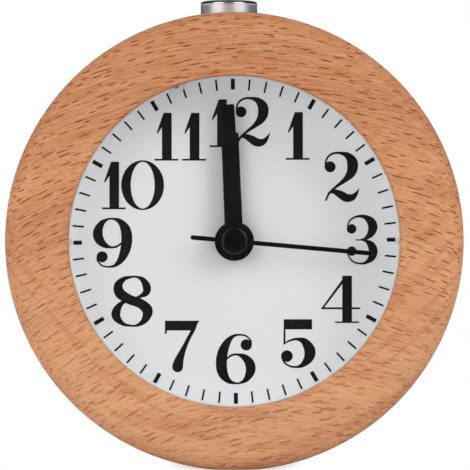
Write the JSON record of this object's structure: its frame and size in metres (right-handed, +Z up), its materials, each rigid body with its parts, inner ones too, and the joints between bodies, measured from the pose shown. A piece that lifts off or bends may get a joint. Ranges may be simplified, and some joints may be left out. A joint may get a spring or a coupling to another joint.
{
  "type": "desk alarm clock",
  "caption": "Round wooden desk alarm clock with a numbered dial, black hands, a chrome button on top and a moulded back.",
  "frame": {"origin": "middle of the flat under the case that the clock stands on", "axes": "+Z up, the dial faces -Y, +X to the right as seen from the front"},
  "size_m": [0.09, 0.0448, 0.0932],
  "materials": {
    "wood": "satin",
    "glass": "gloss",
    "white_plastic": "satin",
    "clear_plastic": "gloss",
    "dial_face": "matt",
    "movement_plastic": "matt",
    "black_plastic": "matt",
    "battery_sleeve": "gloss",
    "spring_metal": "gloss",
    "board": "gloss",
    "hand_black": "satin",
    "gear_plastic": "satin",
    "knob_plastic": "satin",
    "button_chrome": "gloss",
    "switch_plastic": "satin"
  },
  "bodies": {
    "clock": {"wood_case": "wood", "lens": "glass", "dial_ring": "white_plastic", "dial_light": "clear_plastic", "dial_plate": "dial_face", "movement_front_plate": "movement_plastic", "movement_housing": "movement_plastic", "rear_cover": "black_plastic", "battery": "battery_sleeve", "battery_contact_plus": "spring_metal", "battery_contact_minus": "spring_metal", "button_guide": "black_plastic", "button_board": "board", "tact_switch": "knob_plastic", "buzzer": "knob_plastic"},
    "minute": {"minute_hand": "hand_black", "cannon_pinion": "gear_plastic"},
    "hour": {"hour_hand": "hand_black", "hour_wheel": "gear_plastic"},
    "alarm": {"alarm_hand": "hand_black", "alarm_wheel": "gear_plastic"},
    "second": {"second_hand": "hand_black", "second_arbor": "spring_metal"},
    "minute_gear": {"minute_wheel": "gear_plastic"},
    "time_setting": {"time_set_arbor": "gear_plastic", "time_set_knob": "knob_plastic"},
    "alarm_setting": {"alarm_set_arbor": "gear_plastic", "alarm_set_knob": "knob_plastic"},
    "button": {"snooze_button": "button_chrome", "button_stem": "knob_plastic"},
    "switch": {"alarm_switch": "switch_plastic"},
    "door": {"battery_door": "black_plastic"}
  },
  "joints": [
    {"name": "minute_turn", "type": "hinge", "parent": "clock", "child": "minute", "pos_m": [0, 0, 0.04477], "axis": [0, 1, 0], "continuous": true},
    {"name": "hour_turn", "type": "hinge", "parent": "clock", "child": "hour", "pos_m": [0, 0, 0.04477], "axis": [0, 1, 0], "continuous": true},
    {"name": "minute_gear_turn", "type": "hinge", "parent": "clock", "child": "minute_gear", "pos_m": [0, 0, 0.05437], "axis": [0, 1, 0], "continuous": true},
    {"name": "time_setting_turn", "type": "hinge", "parent": "clock", "child": "time_setting", "pos_m": [-0.00831, 0, 0.04957], "axis": [0, 1, 0], "continuous": true},
    {"name": "second_turn", "type": "hinge", "parent": "clock", "child": "second", "pos_m": [0, 0, 0.04477], "axis": [0, 1, 0], "continuous": true},
    {"name": "alarm_setting_turn", "type": "hinge", "parent": "clock", "child": "alarm_setting", "pos_m": [0.00831, 0, 0.04957], "axis": [0, 1, 0], "continuous": true},
    {"name": "alarm_turn", "type": "hinge", "parent": "clock", "child": "alarm", "pos_m": [0, 0, 0.04477], "axis": [0, 1, 0], "continuous": true},
    {"name": "button_press", "type": "slide", "parent": "clock", "child": "button", "axis": [0, 0, -1], "range_m": [0, 0.0012], "stiffness_N_per_m": 500, "springref_m": -0.001},
    {"name": "switch_slide", "type": "slide", "parent": "clock", "child": "switch", "axis": [1, 0, 0], "range_m": [0, 0.004]},
    {"name": "door_pull", "type": "slide", "parent": "clock", "child": "door", "axis": [0, 1, 0], "range_m": [0, 0.014]}
  ],
  "couplings": [
    {"joint": "hour_turn", "follows": "minute_turn", "ratio": 0.083333},
    {"joint": "minute_gear_turn", "follows": "minute_turn", "ratio": -0.33333},
    {"joint": "time_setting_turn", "follows": "minute_turn", "ratio": 1},
    {"joint": "alarm_turn", "follows": "alarm_setting_turn", "ratio": -0.33333}
  ]
}
